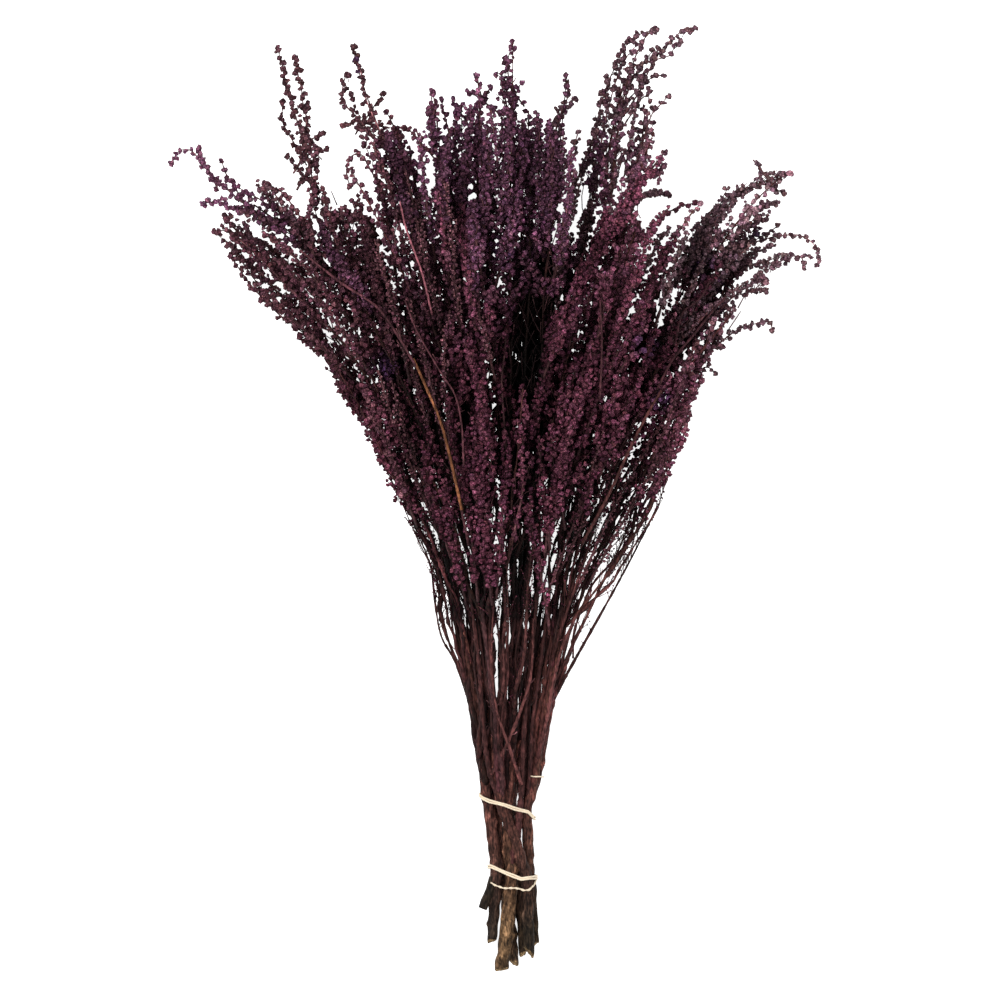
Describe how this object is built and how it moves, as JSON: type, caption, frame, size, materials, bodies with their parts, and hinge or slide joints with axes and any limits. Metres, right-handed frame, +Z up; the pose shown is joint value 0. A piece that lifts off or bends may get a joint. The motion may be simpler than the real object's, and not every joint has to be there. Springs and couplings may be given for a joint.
{
  "type": "dried stoebe bunch",
  "caption": "Bunch of dried stoebe dyed dark plum: woody stems fanning into dense knobbly plumes, tied near the cut ends with rubber bands, lying on its side.",
  "frame": {"origin": "middle of the bunch's footprint, on the surface that it lies on", "axes": "+Y along the bunch from the cut ends to the plume tips, +X across it, +Z up"},
  "size_m": [0.387, 0.566, 0.1429],
  "materials": {
    "plant": "matte",
    "rubber": "satin"
  },
  "bodies": {
    "root": {"left_stem": "plant", "front_stem": "plant", "main_stem": "plant", "right_stem": "plant", "back_left_stem": "plant", "back_right_stem": "plant", "upper_band": "rubber", "lower_band": "rubber", "side_band": "rubber"}
  },
  "joints": []
}
